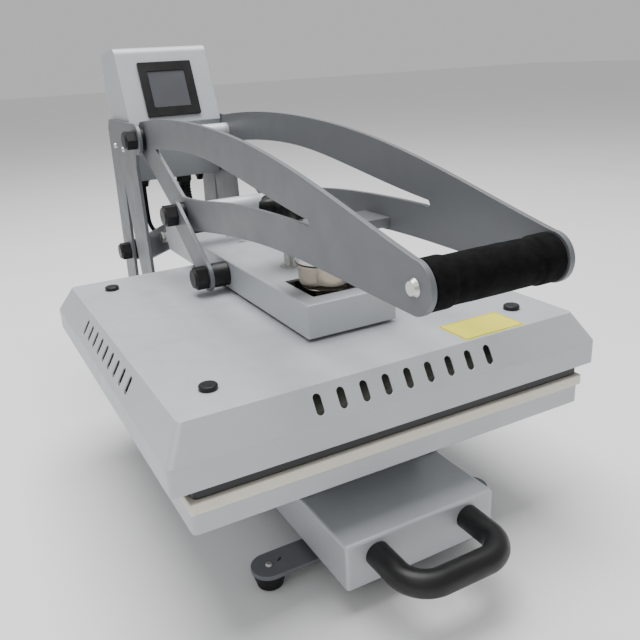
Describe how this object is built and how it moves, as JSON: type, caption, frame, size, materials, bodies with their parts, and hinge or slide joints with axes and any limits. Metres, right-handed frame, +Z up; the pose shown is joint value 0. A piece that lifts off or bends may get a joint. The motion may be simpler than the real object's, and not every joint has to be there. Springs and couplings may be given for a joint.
{
  "type": "heat press",
  "caption": "Swing-arm transfer press with a curved toggle handle, magnetic lock, vented heated platen, pressure knob, tilted screen and a slide-out lower tray.",
  "frame": {"origin": "bottom centre of the whole press, on the surface that the feet stand on", "axes": "+Z up, the operator's side with the grip and the drawer pull is -Y, +X is the operator's right"},
  "size_m": [0.405, 0.75, 0.4553],
  "materials": {
    "panel_paint": "satin light silver-grey powder coat",
    "plate_paint": "satin mid silver-grey powder coat",
    "tube_paint": "satin pale grey powder coat",
    "zinc_steel": "bright zinc-plated steel",
    "magnet_nickel": "polished nickel plate, slightly warm",
    "black_plastic": "moulded black plastic",
    "black_rubber": "black rubber",
    "black_foam": "closed-cell black foam",
    "black_paint": "black enamel",
    "screen_glass": "glossy grey display window",
    "circuit_board": "green circuit board",
    "platen_coating": "black non-stick coating on cast aluminium",
    "insulation": "ceramic fibre board",
    "silicone": "cream silicone sponge"
  },
  "bodies": {
    "frame": {"base_plate": "plate_paint", "foot_bars": "plate_paint", "rubber_feet": "black_rubber", "frame_screws": "zinc_steel", "upright_left": "plate_paint", "upright_right": "plate_paint", "cross_brace": "plate_paint", "slide_outer_rails": "zinc_steel", "axles": "zinc_steel", "axle_nuts": "black_plastic", "axle_spacers": "black_plastic", "control_box_shell": "panel_paint", "control_box_back": "panel_paint", "display_bezel": "black_plastic", "display_screen": "screen_glass", "controller_board": "circuit_board", "power_inlet": "black_plastic", "switch_frame": "black_plastic", "cable_glands": "black_plastic", "gas_spring_mount": "zinc_steel", "heater_conduit": "black_rubber", "sensor_lead": "black_rubber"},
    "switch": {"rocker_switch": "black_plastic"},
    "handle": {"handle_plate_left": "plate_paint", "handle_plate_right": "plate_paint", "pivot_tube": "tube_paint", "link_tube": "tube_paint", "link_axle": "zinc_steel", "link_axle_nuts": "black_plastic", "strike_bar": "plate_paint", "strike_plate": "zinc_steel", "grip_tube": "zinc_steel", "grip_foam": "black_foam", "grip_bolts": "zinc_steel"},
    "links": {"toggle_links": "plate_paint", "link_studs": "black_plastic"},
    "arm": {"arm_channel": "panel_paint", "arm_brackets": "plate_paint", "arm_bolts": "zinc_steel", "cable_clamp": "black_plastic", "electromagnet": "magnet_nickel", "magnet_bracket": "zinc_steel", "screw_bush": "zinc_steel"},
    "gas_tube": {"gas_cylinder": "black_paint"},
    "gas_piston": {"gas_rod": "zinc_steel"},
    "platen": {"heat_cover": "panel_paint", "cover_plugs": "black_plastic", "heat_platen": "platen_coating", "heating_element": "zinc_steel", "insulation_board": "insulation", "platen_posts": "zinc_steel", "pressure_plate": "zinc_steel"},
    "knob": {"pressure_knob": "black_plastic", "pressure_screw": "zinc_steel"},
    "tray": {"drawer_shell": "panel_paint", "drawer_handle": "black_plastic", "slide_inner_rails": "zinc_steel", "tray_beams": "plate_paint", "lower_tray": "panel_paint", "silicone_pad": "silicone"}
  },
  "joints": [
    {"name": "handle_swing", "type": "hinge", "parent": "frame", "child": "handle", "pos_m": [0, 0.216, 0.347], "axis": [-1, 0, 0], "range_deg": [0, 60]},
    {"name": "link_swing", "type": "hinge", "parent": "handle", "child": "links", "pos_m": [0, 0.082, 0.274], "axis": [-1, 0, 0], "range_deg": [-87.18, 0]},
    {"name": "arm_swing", "type": "hinge", "parent": "frame", "child": "arm", "pos_m": [0, 0.331, 0.182], "axis": [-1, 0, 0], "range_deg": [0, 21.83], "deforming": ["heater_conduit", "sensor_lead"]},
    {"name": "gas_tilt", "type": "hinge", "parent": "frame", "child": "gas_tube", "pos_m": [0.025, 0.25, 0.045], "axis": [-1, 0, 0], "range_deg": [0, 6.05]},
    {"name": "gas_stroke", "type": "slide", "parent": "gas_tube", "child": "gas_piston", "axis": [0, -0.0612, 0.9981], "range_m": [0, 0.03242]},
    {"name": "platen_lift", "type": "slide", "parent": "arm", "child": "platen", "axis": [0, 0, 1], "range_m": [0, 0.0024]},
    {"name": "knob_turn", "type": "hinge", "parent": "platen", "child": "knob", "pos_m": [0, -0.064, 0.297], "axis": [0, 0, 1], "range_deg": [0, 433]},
    {"name": "drawer_slide", "type": "slide", "parent": "frame", "child": "tray", "axis": [0, -1, 0], "range_m": [0, 0.3]},
    {"name": "switch_rock", "type": "hinge", "parent": "frame", "child": "switch", "pos_m": [-0.03, 0.3687, 0.3201], "axis": [1, 0, 0], "range_deg": [-6, 6]}
  ],
  "couplings": [
    {"joint": "link_swing", "follows": "handle_swing", "ratio": -1.4363},
    {"joint": "arm_swing", "follows": "handle_swing", "ratio": 0.34717},
    {"joint": "gas_tilt", "follows": "handle_swing", "ratio": 0.084113},
    {"joint": "gas_stroke", "follows": "handle_swing", "m_per_rad": 0.029052},
    {"joint": "knob_turn", "follows": "platen_lift", "rad_per_m": 3141.6}
  ]
}
